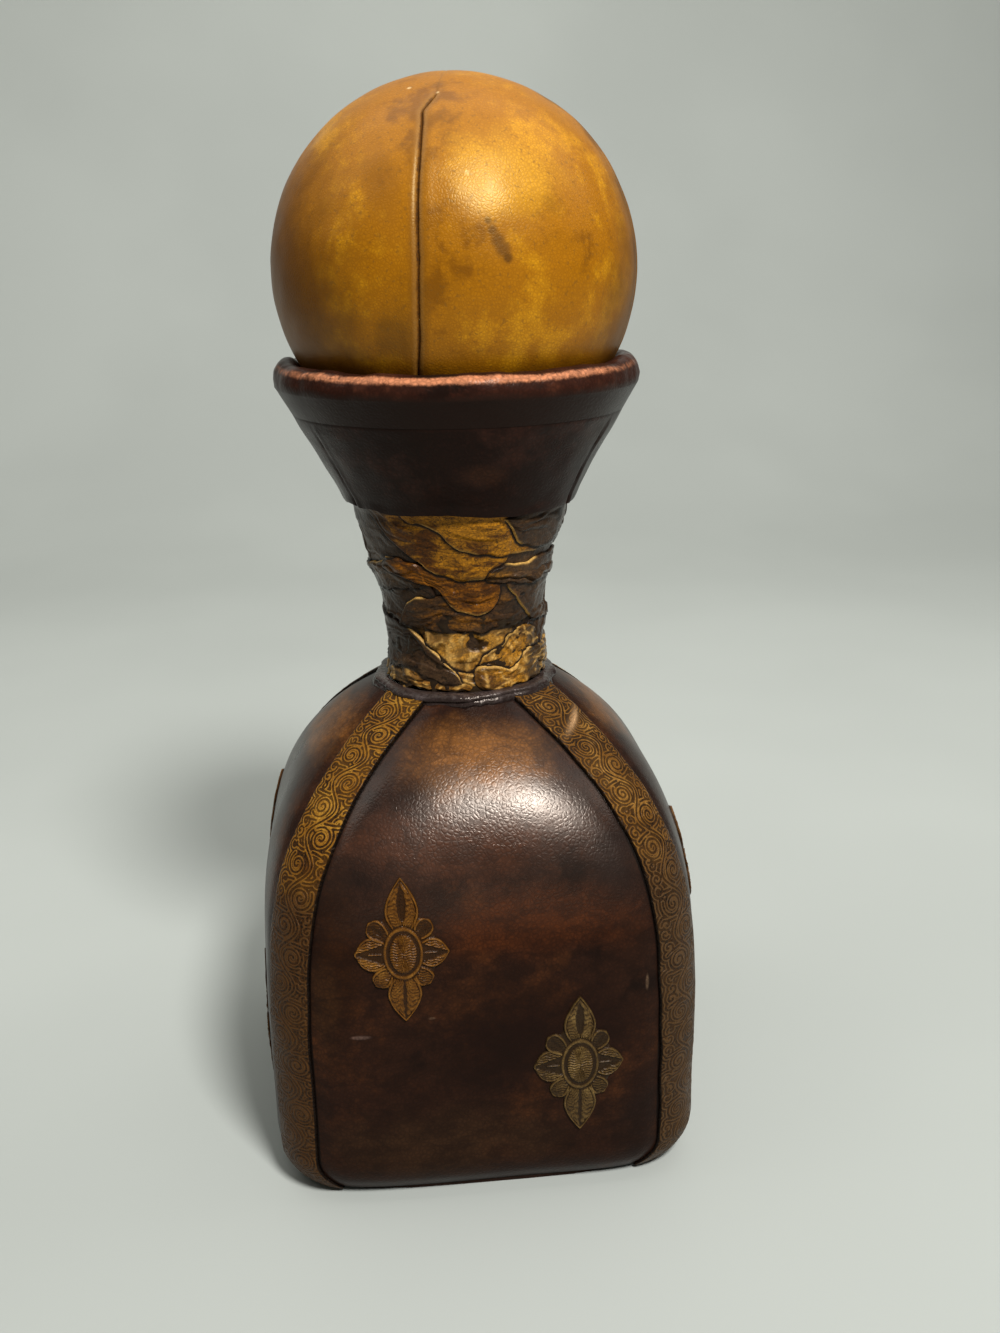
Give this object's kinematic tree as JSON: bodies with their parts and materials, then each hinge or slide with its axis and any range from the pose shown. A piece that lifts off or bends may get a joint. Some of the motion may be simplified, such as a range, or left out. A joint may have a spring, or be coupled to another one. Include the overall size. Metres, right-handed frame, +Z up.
{
  "type": "leather-wrapped decanter",
  "caption": "Square glass decanter clad in embossed leather panels, with a wound neck, flared rolled mouth and a leather ball stopper that lifts out.",
  "frame": {"origin": "centre of the flat base, on the surface it stands on", "axes": "+Z up through the neck, the front face with its medallions looks along -Y, +X to the right"},
  "size_m": [0.1062, 0.1062, 0.2442],
  "materials": {
    "glass": "thick moulded glass",
    "dark_leather": "antiqued dark brown, satin",
    "gilt_leather": "embossed and gilt, worn",
    "tan_leather": "golden tan, polished",
    "wrap_leather": "antiqued brown and gold",
    "cover_leather": "near black, satin",
    "copper_leather": "worn copper red",
    "wood": "plain turned wood",
    "cork": "natural cork"
  },
  "bodies": {
    "decanter": {"back_left_strip": "gilt_leather", "back_medallion_lower": "gilt_leather", "back_medallion_upper": "gilt_leather", "back_panel": "dark_leather", "back_right_strip": "gilt_leather", "base_sole": "dark_leather", "front_left_strip": "gilt_leather", "front_medallion_lower": "gilt_leather", "front_medallion_upper": "gilt_leather", "front_panel": "dark_leather", "front_right_strip": "gilt_leather", "glass_bottle": "glass", "left_medallion_lower": "gilt_leather", "left_medallion_upper": "gilt_leather", "left_panel": "dark_leather", "mouth_cuff": "copper_leather", "neck_cover": "cover_leather", "neck_foot_band": "cover_leather", "neck_sleeve": "wrap_leather", "neck_wrap_falling_1": "wrap_leather", "neck_wrap_falling_2": "wrap_leather", "neck_wrap_falling_3": "wrap_leather", "neck_wrap_falling_4": "wrap_leather", "neck_wrap_falling_5": "wrap_leather", "neck_wrap_rising_1": "wrap_leather", "neck_wrap_rising_2": "wrap_leather", "neck_wrap_rising_3": "wrap_leather", "neck_wrap_rising_4": "wrap_leather", "neck_wrap_rising_5": "wrap_leather", "right_medallion_lower": "gilt_leather", "right_medallion_upper": "gilt_leather", "right_panel": "dark_leather", "rim_roll": "copper_leather"},
    "stopper": {"ball_core": "wood", "ball_foot_disc": "tan_leather", "ball_gore_1": "tan_leather", "ball_gore_2": "tan_leather", "ball_gore_3": "tan_leather", "ball_gore_4": "tan_leather", "stopper_cork": "cork", "stopper_dowel": "wood"}
  },
  "joints": [
    {"name": "stopper_lift", "type": "slide", "parent": "decanter", "child": "stopper", "axis": [0, 0, 1], "range_m": [0, 0.09]}
  ]
}
